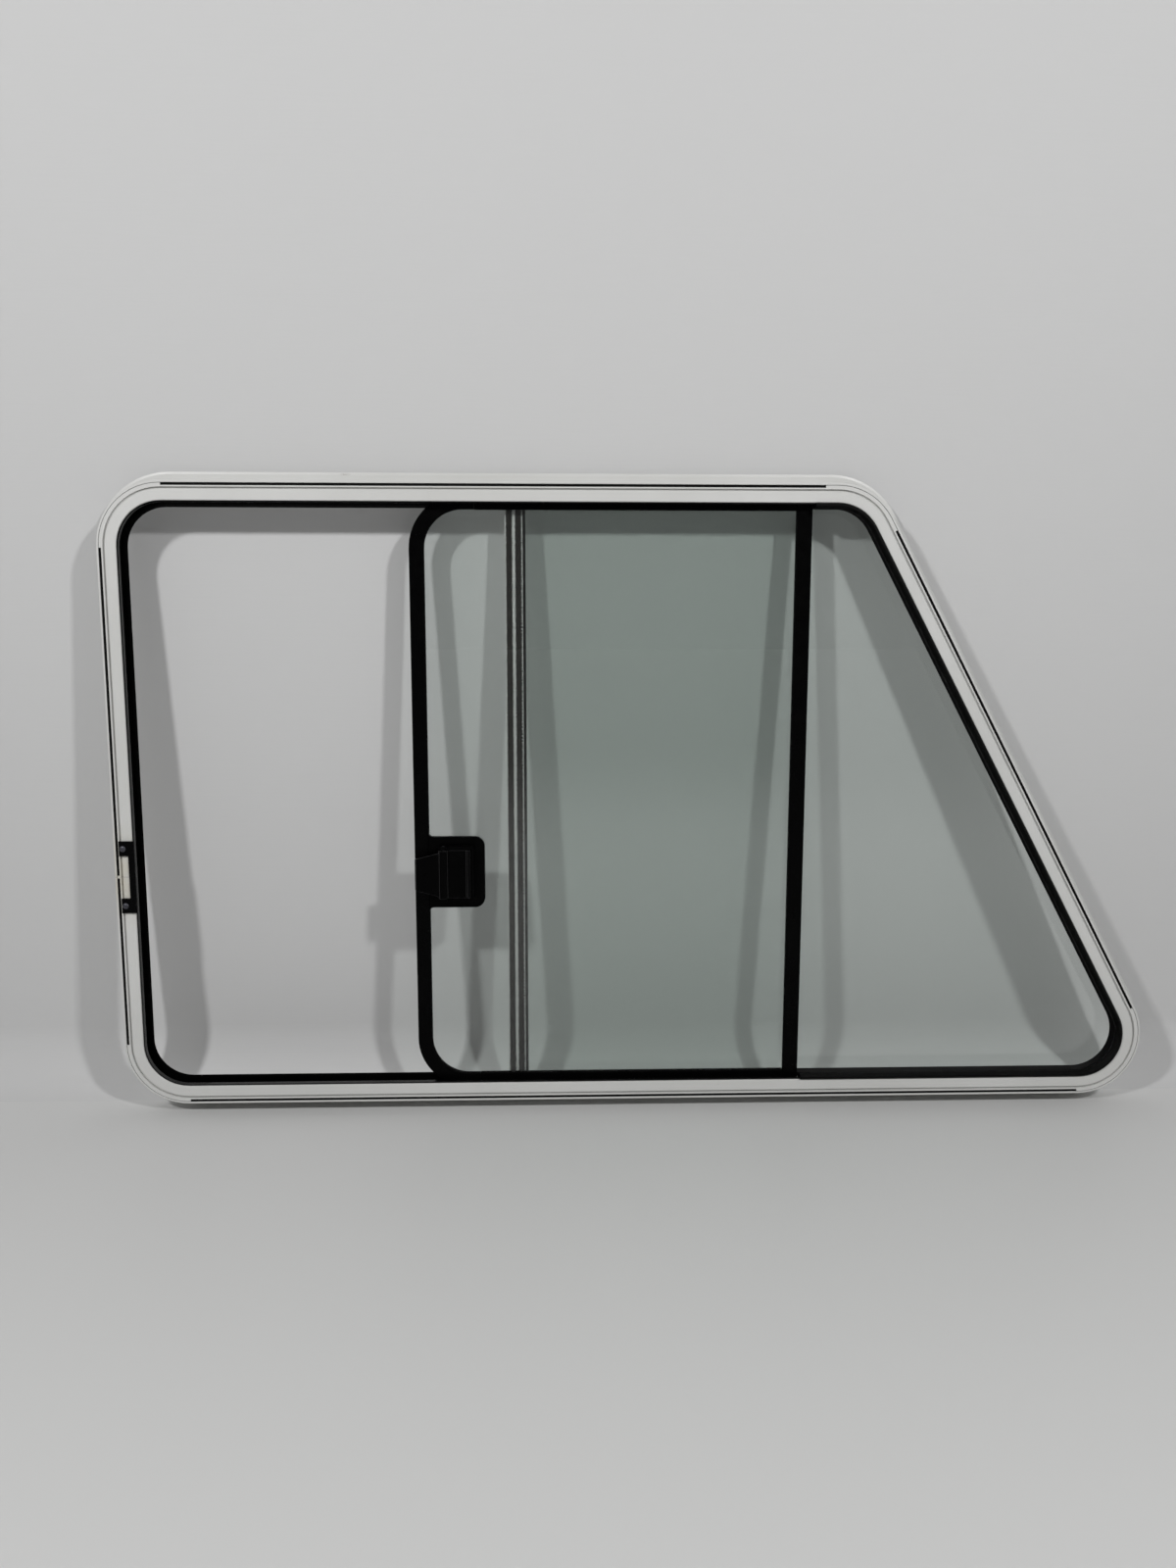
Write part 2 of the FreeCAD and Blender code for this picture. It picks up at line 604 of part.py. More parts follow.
def trim_section(width):
    """A U over the glass edge, as distance from the pane's edge and depth."""
    groove_in, groove_out = "(trim_web - glass_fit)", width
    face, rear = TRIM_FACE, TRIM_REAR
    return [
        ("0", rear),
        (groove_out, rear),
        (groove_out, "(sliding_glass_rear - glass_fit)"),
        (groove_in, "(sliding_glass_rear - glass_fit)"),
        (groove_in, "(sliding_glass_rear + glass_thickness + glass_fit)"),
        (groove_out, "(sliding_glass_rear + glass_thickness + glass_fit)"),
        (groove_out, f"({face} - trim_bevel)"),
        (f"({groove_out} - trim_bevel)", face),
        ("trim_bevel", face),
        ("0", f"({face} - trim_bevel)"),
    ]


def from_head(inset):
    return f"({above('pane_reach')} - ({inset}))"


def from_foot(inset):
    return f"({below('pane_reach')} + ({inset}))"


RETURN_END = f"({PANE_LEFT} + trim_return)"
trim_path = [point(RETURN_END, above("pane_reach"))] + pane_bends("0")
trim_path += [point(RETURN_END, below("pane_reach"))]
swept("leading_trim", trim_path, RETURN_END, placed(trim_section("trim_width"), from_head))

bar = new_body("trailing_bar")
bar_section = [across(f"({PANE_RIGHT} - {inset})", depth) for inset, depth in trim_section("bar_width")]
pad(bar, outline(bar, "XY_Plane", below("pane_reach"), bar_section), "daylight_height + 2 * pane_reach")

EDGE_TRIM_LENGTH = "pane_width - trim_return - bar_width - 2 * butt_gap"
for label, width, height in (("foot_trim", "foot_trim_width", from_foot),
                             ("head_trim", "head_trim_width", from_head)):
    edge = new_body(label)
    section = [point(f"(-({depth}))", z) for z, depth in placed(trim_section(width), height)]
    pad(edge, outline(edge, "YZ_Plane", f"{RETURN_END} + butt_gap", section), EDGE_TRIM_LENGTH)

# Latch: a plate on the glass carries a three-sided box, and the lever rocks on a pin between its walls
PLATE_LEFT = f"({PANE_LEFT} + trim_width)"
PLATE_RIGHT = f"({PLATE_LEFT} + latch_plate_width)"
PLATE_REAR = "(sliding_glass_rear + glass_thickness)"
PLATE_FACE = f"({PLATE_REAR} + latch_plate_thickness)"
HALF = "latch_plate_height / 2"
low, high = f"({LATCH_Z} - {HALF})", f"({LATCH_Z} + {HALF})"
turn = f"({PLATE_RIGHT} - latch_plate_radius)"
hollow_x = f"({PLATE_LEFT} + latch_plate_fillet)"
# The hollow corners end on the trim's edge, so the outline meets it there without a straight run
latch_edge = [
    bend(hollow_x, f"({low} - latch_plate_fillet)", "latch_plate_fillet", "90", "180", hollow=True),
    bend(turn, f"({low} + latch_plate_radius)", "latch_plate_radius", "-90", "0"),
    bend(turn, f"({high} - latch_plate_radius)", "latch_plate_radius", "0", "90"),
    bend(hollow_x, f"({high} + latch_plate_fillet)", "latch_plate_fillet", "180", "270", hollow=True),
]
BOX_LEFT = f"({PANE_LEFT} + box_offset)"
BOX_RIGHT = f"({BOX_LEFT} + box_length)"
box_low, box_high = f"({LATCH_Z} - box_height / 2)", f"({LATCH_Z} + box_height / 2)"
box_walls = [
    point(BOX_LEFT, box_low),
    point(BOX_RIGHT, box_low),
    point(BOX_RIGHT, box_high),
    point(BOX_LEFT, box_high),
    point(BOX_LEFT, f"({box_high} - box_wall)"),
    point(f"({BOX_RIGHT} - box_wall)", f"({box_high} - box_wall)"),
    point(f"({BOX_RIGHT} - box_wall)", f"({box_low} + box_wall)"),
    point(BOX_LEFT, f"({box_low} + box_wall)"),
]
PIN_X = f"({BOX_LEFT} + pin_offset)"
PIN_DEPTH = f"({PLATE_FACE} + pin_rise)"


def pin_hole(body, radius):
    """A hole along the pivot, right through the body."""
    sketch = new_sketch(body, "XY_Plane", LATCH_Z)
    centre = FreeCAD.Vector(value(PIN_X), -value(PIN_DEPTH), 0)
    circle = sketch.addGeometry(Part.Circle(centre, FreeCAD.Vector(0, 0, 1), value(radius)))
    fix(sketch, "DistanceX", circle, 3, PIN_X)
    fix(sketch, "DistanceY", circle, 3, f"(-{PIN_DEPTH})")
    fix(sketch, "Radius", circle, 0, radius)
    doc.recompute()
    pocket(body, sketch, "2 * box_height", both_ways=True)


latch = plate("latch_plate", latch_edge, PLATE_REAR, "latch_plate_thickness")
pad(latch, outline(latch, "XZ_Plane", PLATE_FACE, box_walls), "box_rise")
bosses = []
boss_left, boss_right = f"({PIN_X} - boss_half)", f"({PIN_X} + boss_half)"
for foot in (box_low, f"({box_high} - box_wall)"):
    head = f"({foot} + box_wall)"
    corners = ((boss_left, foot), (boss_right, foot), (boss_right, head), (boss_left, head))
    bosses.append([point(x, z) for x, z in corners])
pad(latch, outline(latch, "XZ_Plane", PLATE_FACE, *bosses), "box_rise + boss_rise")
pin_hole(latch, "pin_radius + pin_seat_fit")

pin = doc.addObject("Part::Cylinder", "pivot_pin")
pin.Label = "pivot_pin"
pin.setExpression("Radius", bound("pin_radius"))
pin.setExpression("Height", bound("box_height"))
pin.setExpression("Placement.Base.x", bound(PIN_X))
pin.setExpression("Placement.Base.y", bound(f"(-{PIN_DEPTH})"))
pin.setExpression("Placement.Base.z", bound(box_low))

# Lever: tongue with its beak to the left of the pivot, dished paddle to the right
KEEPER_FACE = f"({FRONT} + keeper_thickness)"
TONGUE_BACK = f"({KEEPER_FACE} + tongue_gap)"
TONGUE_FACE = f"({TONGUE_BACK} + tongue_thickness)"
BEAK_TIP = f"({FRONT} + beak_gap)"
TIP_LEFT = f"({PANE_LEFT} + tongue_inset)"
BEAK_RIGHT = f"({TIP_LEFT} + beak_length)"
PADDLE_RIGHT = f"({BOX_RIGHT} - box_wall - paddle_tip_gap)"
PADDLE_BACK = f"({PIN_DEPTH} + hub_radius - paddle_thickness)"
PADDLE_FACE = f"({PIN_DEPTH} + hub_radius)"
lever_section = [
    across(TIP_LEFT, f"({TONGUE_BACK} - tongue_gap)"),
    across(f"({TIP_LEFT} + beak_lead)", BEAK_TIP),
    across(BEAK_RIGHT, BEAK_TIP),
    across(BEAK_RIGHT, TONGUE_BACK),
    across(f"({PIN_X} - hub_radius)", TONGUE_BACK),
    across(f"({PIN_X} - hub_radius)", f"({PIN_DEPTH} - hub_radius / 2)"),
    across(f"({PIN_X} - hub_radius / 2)", f"({PIN_DEPTH} - hub_radius)"),
    across(f"({PIN_X} + hub_radius / 2)", f"({PIN_DEPTH} - hub_radius)"),
    across(f"({PIN_X} + hub_radius)", PADDLE_BACK),
    across(PADDLE_RIGHT, PADDLE_BACK),
    across(PADDLE_RIGHT, f"({PADDLE_FACE} + paddle_dish)"),
    across(f"({PADDLE_RIGHT} - paddle_rim)", f"({PADDLE_FACE} + paddle_dish)"),
    across(f"({PADDLE_RIGHT} - paddle_rim - paddle_dish)", PADDLE_FACE),
    across(f"({PIN_X} + barrel_half)", PADDLE_FACE),
    across(f"({PIN_X} + barrel_half)", TONGUE_FACE),
    across(f"({PIN_X} + 3 / 4 * barrel_half)", f"({TONGUE_FACE} + 2 / 3 * barrel_crown)"),
    across(f"({PIN_X} + barrel_half / 3)", f"({TONGUE_FACE} + barrel_crown)"),
    across(f"({PIN_X} - barrel_half / 3)", f"({TONGUE_FACE} + barrel_crown)"),
    across(f"({PIN_X} - 3 / 4 * barrel_half)", f"({TONGUE_FACE} + 2 / 3 * barrel_crown)"),
    across(f"({PIN_X} - barrel_half)", TONGUE_FACE),
    across(f"({TIP_LEFT} + beak_lead)", TONGUE_FACE),
]
lever = new_body("latch_lever")
LEVER_HEIGHT = "(box_height - 2 * box_wall - 2 * lever_side_gap)"
pad(lever, outline(lever, "XY_Plane", LATCH_Z, lever_section), LEVER_HEIGHT, both_ways=True)
# The tongue narrows from the box to its tip, so a wedge comes off its head and its foot
TAPER_START = f"({TIP_LEFT} - beak_lead)"
wedges = []
for sign in ("1", "(-1)"):
    tip = f"({LATCH_Z} + {sign} * tongue_tip_height / 2)"
    root = f"({LATCH_Z} + {sign} * tongue_root_height / 2)"
    outside = f"({LATCH_Z} + {sign} * {LEVER_HEIGHT} / 2 + {sign} * beak_lead)"
    wedges.append([
        point(TAPER_START, tip),
        point(BOX_LEFT, root),
        point(BOX_LEFT, outside),
        point(TAPER_START, outside),
    ])
pocket(lever, outline(lever, "XZ_Plane", "0", *wedges), "2 * (wall_depth + keeper_thickness)",
       along_normal=True)
pin_hole(lever, "pin_radius + pin_fit")

# Keeper: a flat C screwed to the band, its upright towards the glass. The beak drops in behind it.
UPRIGHT_LEFT = f"({SHUT_LEFT} + tongue_inset + beak_length + catch_gap)"
UPRIGHT_RIGHT = f"({UPRIGHT_LEFT} + keeper_upright)"
KEEPER_TURN = f"({UPRIGHT_RIGHT} - keeper_round)"
EAR_LEFT = f"({UPRIGHT_LEFT} - keeper_ear_length)"
keeper_low, keeper_high = f"({KEEPER_Z} - keeper_height / 2)", f"({KEEPER_Z} + keeper_height / 2)"
keeper_edge = [
    point(EAR_LEFT, keeper_low),
    bend(KEEPER_TURN, f"({keeper_low} + keeper_round)", "keeper_round", "-90", "0"),
    bend(KEEPER_TURN, f"({keeper_high} - keeper_round)", "keeper_round", "0", "90"),
    point(EAR_LEFT, keeper_high),
    point(EAR_LEFT, f"({keeper_high} - keeper_ear)"),
    point(UPRIGHT_LEFT, f"({keeper_high} - keeper_ear)"),
    point(UPRIGHT_LEFT, f"({keeper_low} + keeper_ear)"),
    point(EAR_LEFT, f"({keeper_low} + keeper_ear)"),
]
keeper = plate("keeper", keeper_edge, FRONT, "keeper_thickness")
holes = new_sketch(keeper, "XZ_Plane", KEEPER_FACE)
for z in (f"({keeper_low} + keeper_ear / 2)", f"({keeper_high} - keeper_ear / 2)"):
    x = f"({EAR_LEFT} + keeper_hole_inset)"
    centre = FreeCAD.Vector(value(x), value(z), 0)
    circle = holes.addGeometry(Part.Circle(centre, FreeCAD.Vector(0, 0, 1), value("keeper_hole_radius")))
    fix(holes, "DistanceX", circle, 3, x)
    fix(holes, "DistanceY", circle, 3, z)
    fix(holes, "Radius", circle, 0, "keeper_hole_radius")
doc.recompute()
pocket(keeper, holes, "keeper_thickness")

# Every object has to be sound before anything is written
doc.recompute()
for item in doc.Objects:
    if "Invalid" in item.State or "Error" in item.State:
        raise RuntimeError(f"{item.Label} failed: {item.State}")
PIECE_TYPES = ("PartDesign::Body", "Part::Box", "Part::Cylinder")
pieces = [item for item in doc.Objects if item.TypeId in PIECE_TYPES]
for piece in pieces:
    if piece.Shape.isNull() or not piece.Shape.isValid() or len(piece.Shape.Solids) != 1:
        raise RuntimeError(f"{piece.Label} is not one sound solid")

os.makedirs("parts", exist_ok=True)
for piece in pieces:
    piece.Shape.exportStep(f"parts/{piece.Label}.step")
    box = piece.Shape.BoundBox
    print(f"{piece.Label:24s} {piece.Shape.Volume / 1000:9.2f} cm3  X {box.XMin:8.1f} {box.XMax:8.1f}"
          f"  Y {box.YMin:6.1f} {box.YMax:6.1f}  Z {box.ZMin:6.1f} {box.ZMax:6.1f}")
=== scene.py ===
# Looks for a sliding cab window: powder-coated frame, rubber seals, tinted glass, black latch
import bpy
import bmesh
import json
import math
import random
from mathutils import Matrix, Vector


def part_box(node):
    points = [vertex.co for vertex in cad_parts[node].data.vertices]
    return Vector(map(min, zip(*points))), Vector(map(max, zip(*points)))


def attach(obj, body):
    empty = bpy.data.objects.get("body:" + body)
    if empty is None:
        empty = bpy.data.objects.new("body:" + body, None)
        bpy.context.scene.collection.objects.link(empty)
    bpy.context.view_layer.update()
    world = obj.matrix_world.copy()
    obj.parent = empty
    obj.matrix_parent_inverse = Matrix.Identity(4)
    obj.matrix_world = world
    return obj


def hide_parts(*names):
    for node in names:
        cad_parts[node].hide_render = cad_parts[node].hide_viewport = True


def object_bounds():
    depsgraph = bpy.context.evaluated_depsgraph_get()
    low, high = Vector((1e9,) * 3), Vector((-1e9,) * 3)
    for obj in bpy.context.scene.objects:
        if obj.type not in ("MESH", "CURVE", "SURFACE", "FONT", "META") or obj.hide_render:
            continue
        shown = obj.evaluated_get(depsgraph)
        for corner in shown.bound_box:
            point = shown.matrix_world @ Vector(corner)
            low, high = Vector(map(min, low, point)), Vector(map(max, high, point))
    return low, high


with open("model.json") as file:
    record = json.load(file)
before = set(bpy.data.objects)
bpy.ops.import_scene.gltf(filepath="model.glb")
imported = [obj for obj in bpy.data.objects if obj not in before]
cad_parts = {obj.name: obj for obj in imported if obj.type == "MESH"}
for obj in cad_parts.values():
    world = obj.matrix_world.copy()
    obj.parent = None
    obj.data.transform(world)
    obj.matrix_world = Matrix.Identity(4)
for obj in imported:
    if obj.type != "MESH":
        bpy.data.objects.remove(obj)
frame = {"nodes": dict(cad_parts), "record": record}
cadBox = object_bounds()
nodes = frame["nodes"]
slotOf = {entry["node"]: entry["material_slot"] for entry in frame["record"]["subparts"]}
print("frame loaded:", len(nodes), "nodes")

noiseBand = (0.3, 0.7)                   # most of a noise lies between these values
weldReach = 1e-6                         # points closer than this become one


# Small helpers for shader nodes
def startMaterial(name, finish):
    material = bpy.data.materials.new(name)
    material.use_nodes = True
    tree = material.node_tree
    shader = tree.nodes["Principled BSDF"]
    shader.inputs["Base Color"].default_value = (*finish["colour"], 1)
    shader.inputs["Roughness"].default_value = finish["roughness"]
    shader.inputs["Metallic"].default_value = finish.get("metallic", 0)
    shader.inputs["Specular IOR Level"].default_value = finish.get("specular", 0.5)
    return material, tree, shader


def place(tree, scale=(1, 1, 1), shift=(0, 0, 0)):
    coords = tree.nodes.new("ShaderNodeTexCoord")
    mapping = tree.nodes.new("ShaderNodeMapping")
    mapping.inputs["Scale"].default_value = scale
    mapping.inputs["Location"].default_value = shift
    tree.links.new(coords.outputs["Object"], mapping.inputs["Vector"])
    return mapping.outputs["Vector"]


def split(tree, vector):
    axes = tree.nodes.new("ShaderNodeSeparateXYZ")
    tree.links.new(vector, axes.inputs["Vector"])
    return axes.outputs


def distance(tree, vector):
    length = tree.nodes.new("ShaderNodeVectorMath")
    length.operation = "LENGTH"
    tree.links.new(vector, length.inputs[0])
    return length.outputs["Value"]


def grain(tree, vector, scale, detail=3, rough=0.55):
    noise = tree.nodes.new("ShaderNodeTexNoise")
    noise.inputs["Scale"].default_value = scale
    noise.inputs["Detail"].default_value = detail
    noise.inputs["Roughness"].default_value = rough
    tree.links.new(vector, noise.inputs["Vector"])
    return noise.outputs["Fac"]


def spread(tree, source, fromRange, toRange=(0, 1)):
    node = tree.nodes.new("ShaderNodeMapRange")
    for label, limits in (("From", fromRange), ("To", toRange)):
        node.inputs[f"{label} Min"].default_value = limits[0]
        node.inputs[f"{label} Max"].default_value = limits[1]
    tree.links.new(source, node.inputs["Value"])
    return node.outputs["Result"]


def sums(tree, operation, first, second=0):
    node = tree.nodes.new("ShaderNodeMath")
    node.operation = operation
    for socket, given in zip(node.inputs, (first, second)):
        if isinstance(given, (int, float)):
            socket.default_value = given
        else:
            tree.links.new(given, socket)
    return node.outputs["Value"]


def tint(tree, factor, first, second):
    node = tree.nodes.new("ShaderNodeMix")
    node.data_type = "RGBA"
    for socket, given in zip((node.inputs[6], node.inputs[7]), (first, second)):
        if isinstance(given, tuple):
            socket.default_value = (*given, 1)
        else:
            tree.links.new(given, socket)
    tree.links.new(factor, node.inputs[0])
    return node.outputs[2]


def dent(tree, shader, height, finish):
    node = tree.nodes.new("ShaderNodeBump")
    node.inputs["Strength"].default_value = finish["bump"]
    node.inputs["Distance"].default_value = finish["bumpDepth"]
    tree.links.new(height, node.inputs["Height"])
    tree.links.new(node.outputs["Normal"], shader.inputs["Normal"])


def varyRoughness(tree, shader, source, finish):
    limits = [finish["roughness"] + change for change in finish["uneven"]]
    tree.links.new(spread(tree, source, noiseBand, limits), shader.inputs["Roughness"])


def chooseSurface(tree, factor, first, second):
    choose = tree.nodes.new("ShaderNodeMixShader")
    tree.links.new(factor, choose.inputs["Fac"])
    tree.links.new(first.outputs[0], choose.inputs[1])
    tree.links.new(second.outputs[0], choose.inputs[2])
    tree.links.new(choose.outputs["Shader"], tree.nodes["Material Output"].inputs["Surface"])


def nearness(tree, centre, stretch, reach):
    # 1 at a point, falling to 0 at a reach, longer along the axes with a small stretch
    shift = [-c * s for c, s in zip(centre, stretch)]
    return spread(tree, distance(tree, place(tree, stretch, shift)), (0, reach), (1, 0))


# White powder coat of the frame
frameCoat = {
    "colour": (0.68, 0.68, 0.665),
    "shade": (0.64, 0.64, 0.622),
    "shadeScale": 7,
    "shadeBand": (0.35, 0.65),
    "roughness": 0.36,
    "uneven": (-0.06, 0.08),             # roughness, least and most from its mean
    "unevenScale": 40,
    "specular": 0.45,
    "grainScale": 950,
    "bump": 0.10,
    "bumpDepth": 0.0003,
    "speck": (0.30, 0.29, 0.27),
    "speckScale": 120,
    "speckEdge": (0.03, 0.06),
    "patchScale": 23,                    # patches that hold the specks
    "patchBand": (0.57, 0.66),
    "patchMost": 0.7,
    "handled": (0.60, 0.575, 0.49),      # yellowed where hands reach the catch
    "handledAt": (-0.5155, -0.031, 0.2374),
    "handledReach": 0.055,
    "handledScale": 60,
    "handledBand": (0.3, 0.6),
    "handledLeast": 0.35,
    "smudge": (0.42, 0.41, 0.39),
    "smudgeAt": (-0.298, 0.0, 0.6222),
    "smudgeStretch": (0.35, 1, 1.4),
    "smudgeReach": 0.0022,
    "smudgeScale": 900,
    "smudgeBand": (0.35, 0.6),
    "smudgeLeast": 0.2,
    "jointZ": 0.2374,                    # hairline where the ends of the bent bar meet
    "jointHalf": 0.00014,
    "jointX": -0.5068,
    "jointColour": (0.20, 0.195, 0.185),
    "paintedGrooveShade": (0.09, 0.087, 0.08),        # painted shade, darkening the narrow grooves
    "paintedGrooveShadeReach": 0.0010,
    "paintedGrooveShadeBand": (0.25, 0.75),
    "paintedGrooveShadeMost": 0.85,
    "paintedGrooveShadeSamples": 8,
}


def powderCoat(finish):
    material, tree, shader = startMaterial("white powder coat", finish)
    vector = place(tree)
    cloudy = spread(tree, grain(tree, vector, finish["shadeScale"], detail=4), finish["shadeBand"])
    colour = tint(tree, cloudy, finish["colour"], finish["shade"])

    cells = tree.nodes.new("ShaderNodeTexVoronoi")
    cells.inputs["Scale"].default_value = finish["speckScale"]
    tree.links.new(vector, cells.inputs["Vector"])
    dots = spread(tree, cells.outputs["Distance"], finish["speckEdge"], (1, 0))
    patches = grain(tree, vector, finish["patchScale"], detail=2)
    patches = spread(tree, patches, finish["patchBand"], (0, finish["patchMost"]))
    colour = tint(tree, sums(tree, "MULTIPLY", dots, patches), colour, finish["speck"])

    hands = nearness(tree, finish["handledAt"], (1, 1, 1), finish["handledReach"])
    uneven = grain(tree, vector, finish["handledScale"], detail=4)
    uneven = spread(tree, uneven, finish["handledBand"], (finish["handledLeast"], 1))
    colour = tint(tree, sums(tree, "MULTIPLY", hands, uneven), colour, finish["handled"])

    smear = nearness(tree, finish["smudgeAt"], finish["smudgeStretch"], finish["smudgeReach"])
    uneven = grain(tree, vector, finish["smudgeScale"], detail=2)
    uneven = spread(tree, uneven, finish["smudgeBand"], (finish["smudgeLeast"], 1))
    colour = tint(tree, sums(tree, "MULTIPLY", smear, uneven), colour, finish["smudge"])

    axes = split(tree, vector)
    away = sums(tree, "ABSOLUTE", sums(tree, "SUBTRACT", axes["Z"], finish["jointZ"]))
    seam = sums(tree, "LESS_THAN", away, finish["jointHalf"])
    seam = sums(tree, "MULTIPLY", seam, sums(tree, "LESS_THAN", axes["X"], finish["jointX"]))
    colour = tint(tree, seam, colour, finish["jointColour"])

    # Painted shade: an occlusion mask darkens the coat in narrow grooves and creases
    grooveOcclusion = tree.nodes.new("ShaderNodeAmbientOcclusion")
    grooveOcclusion.only_local = True
    grooveOcclusion.samples = finish["paintedGrooveShadeSamples"]
    grooveOcclusion.inputs["Distance"].default_value = finish["paintedGrooveShadeReach"]
    paintedGrooveShadeMask = spread(tree, grooveOcclusion.outputs["AO"], finish["paintedGrooveShadeBand"], (finish["paintedGrooveShadeMost"], 0))
    colour = tint(tree, paintedGrooveShadeMask, colour, finish["paintedGrooveShade"])
    tree.links.new(colour, shader.inputs["Base Color"])

    varyRoughness(tree, shader, grain(tree, vector, finish["unevenScale"], detail=5, rough=0.65), finish)
    dent(tree, shader, grain(tree, vector, finish["grainScale"], detail=2), finish)
    return material


# Rubber of the seals and of the strips in the frame's slots
sealRubber = {
    "colour": (0.0012, 0.0012, 0.0012),
    "dusty": (0.0026, 0.0026, 0.0025),
    "patchScale": 18,
    "patchBand": (0.42, 0.72),
    "dustScale": 420,
    "dustBand": (0.35, 0.7),
    "roughness": 0.18,
    "uneven": (-0.03, 0.04),
    "unevenScale": 55,
    "specular": 0.36,
    "grainScale": 2200,
    "bump": 0.04,
    "bumpDepth": 0.0002,
}
insertRubber = dict(sealRubber, dusty=(0.0045, 0.0045, 0.0043), roughness=0.60, specular=0.10)
fillerRubber = dict(sealRubber, colour=(0.0008, 0.0008, 0.0008), roughness=0.50, specular=0.09)


def rubberFinish(name, finish):
    material, tree, shader = startMaterial(name, finish)
    vector = place(tree)
    patches = grain(tree, vector, finish["patchScale"], detail=4, rough=0.6)
    specks = grain(tree, vector, finish["dustScale"])
    dust = sums(tree, "MULTIPLY", spread(tree, patches, finish["patchBand"]),
                spread(tree, specks, finish["dustBand"]))
    tree.links.new(tint(tree, dust, finish["colour"], finish["dusty"]), shader.inputs["Base Color"])
    varyRoughness(tree, shader, grain(tree, vector, finish["unevenScale"]), finish)
    dent(tree, shader, grain(tree, vector, finish["grainScale"], detail=2), finish)
    return material


# Black plastics of the edge trims and the latch, and the keeper's paint
trimPlastic = {
    "colour": (0.0009, 0.0009, 0.0010),
    "wearAndEdgeHighlight": (0.0018, 0.0018, 0.0018),
    "wearAndEdgeHighlightScale": 34,
    "wearAndEdgeHighlightBand": (0.5, 0.75),
    "roughness": 0.30,
    "uneven": (-0.06, 0.08),
    "unevenScale": 90,
    "specular": 0.04,
    "grainScale": 1500,
    "bump": 0.07,
    "bumpDepth": 0.00015,
}
latchPlastic = dict(trimPlastic, specular=0.03, grainScale=3200, bump=0.08)
# Painted highlight: a lighter plastic for the lever's bevel faces, standing in for light caught on its edges
edgeHighlightPlastic = dict(latchPlastic, colour=(0.034, 0.034, 0.035), wearAndEdgeHighlight=(0.050, 0.050, 0.050), specular=0.20)
blackPaint = dict(trimPlastic, colour=(0.0012, 0.0012, 0.0014), roughness=0.27, specular=0.05, bump=0.05)


def plasticFinish(name, finish):
    material, tree, shader = startMaterial(name, finish)
    vector = place(tree)
    wearAndEdgeHighlightMask = spread(tree, grain(tree, vector, finish["wearAndEdgeHighlightScale"], detail=5, rough=0.65), finish["wearAndEdgeHighlightBand"])
    tree.links.new(tint(tree, wearAndEdgeHighlightMask, finish["colour"], finish["wearAndEdgeHighlight"]), shader.inputs["Base Color"])
    varyRoughness(tree, shader, grain(tree, vector, finish["unevenScale"], detail=4), finish)
    dent(tree, shader, grain(tree, vector, finish["grainScale"], detail=2), finish)
    return material


# Mill-finish aluminium of the post, and steel of the screws and the pin
postMetal = {
    "colour": (0.66, 0.66, 0.65),
    "dull": (0.57, 0.57, 0.56),
    "cloudScale": 26,
    "lineShare": (0.4, 1),               # how far the drawn lines and the clouds dull the metal
    "cloudShare": (0.3, 1),
    "roughness": 0.42,
    "uneven": (-0.07, 0.12),
    "metallic": 0.35,                    # dulled by a thin white oxide
    "drawn": (900, 900, 6),              # fine lines along the bar
    "bump": 0.06,
    "bumpDepth": 0.0001,
}
screwSteel = dict(postMetal, colour=(0.10, 0.10, 0.118), dull=(0.07, 0.07, 0.08), metallic=1.0,
                  drawn=(800, 800, 800))
pinSteel = dict(screwSteel, colour=(0.45, 0.45, 0.46), dull=(0.33, 0.33, 0.34), roughness=0.33,
                drawn=(700, 700, 60))


def drawnMetal(name, finish):
    material, tree, shader = startMaterial(name, finish)
    lines = grain(tree, place(tree, finish["drawn"]), 1, rough=0.7)
    clouds = grain(tree, place(tree), finish["cloudScale"], detail=4)
    streaks = spread(tree, lines, noiseBand, finish["lineShare"])
    dulled = sums(tree, "MULTIPLY", streaks, spread(tree, clouds, noiseBand, finish["cloudShare"]))
    tree.links.new(tint(tree, dulled, finish["colour"], finish["dull"]), shader.inputs["Base Color"])
    varyRoughness(tree, shader, lines, finish)
    dent(tree, shader, lines, finish)
    return material


# Pile of the brush strips
brushPile = {
    "colour": (0.008, 0.007, 0.006),
    "tips": (0.032, 0.027, 0.023),
    "hairs": (2600, 260, 2600),
    "hairBand": (0.4, 0.7),
    "clumpScale": 330,
    "clumpBand": (0.35, 0.65),
    "clumpLeast": 0.2,
    "roughness": 0.85,
    "specular": 0.15,
    "bump": 0.6,
    "bumpDepth": 0.0004,
}


def pileFinish(finish):
    material, tree, shader = startMaterial("brush pile", finish)
    hairs = grain(tree, place(tree, finish["hairs"]), 1, detail=2, rough=0.6)
    clumps = grain(tree, place(tree), finish["clumpScale"])
    clumps = spread(tree, clumps, finish["clumpBand"], (finish["clumpLeast"], 1))
    tuft = sums(tree, "MULTIPLY", spread(tree, hairs, finish["hairBand"]), clumps)
    tree.links.new(tint(tree, tuft, finish["colour"], finish["tips"]), shader.inputs["Base Color"])
    dent(tree, shader, hairs, finish)
    return material


# Green-tinted safety glass
paneGlass = {
    "colour": (0.832, 0.858, 0.846),
    "lampColour": (0.885, 0.906, 0.895),   # what lamps send on through each face
    "ior": 1.5,
    "roughness": 0.0,
    "wiped": (1, 1, 0.35),                 # faint smears, longer upwards
    "wipedScale": 12,
    "wipedBand": (0.45, 0.8),
    "wipedMost": 0.03,
    "specular": 0.32,
}


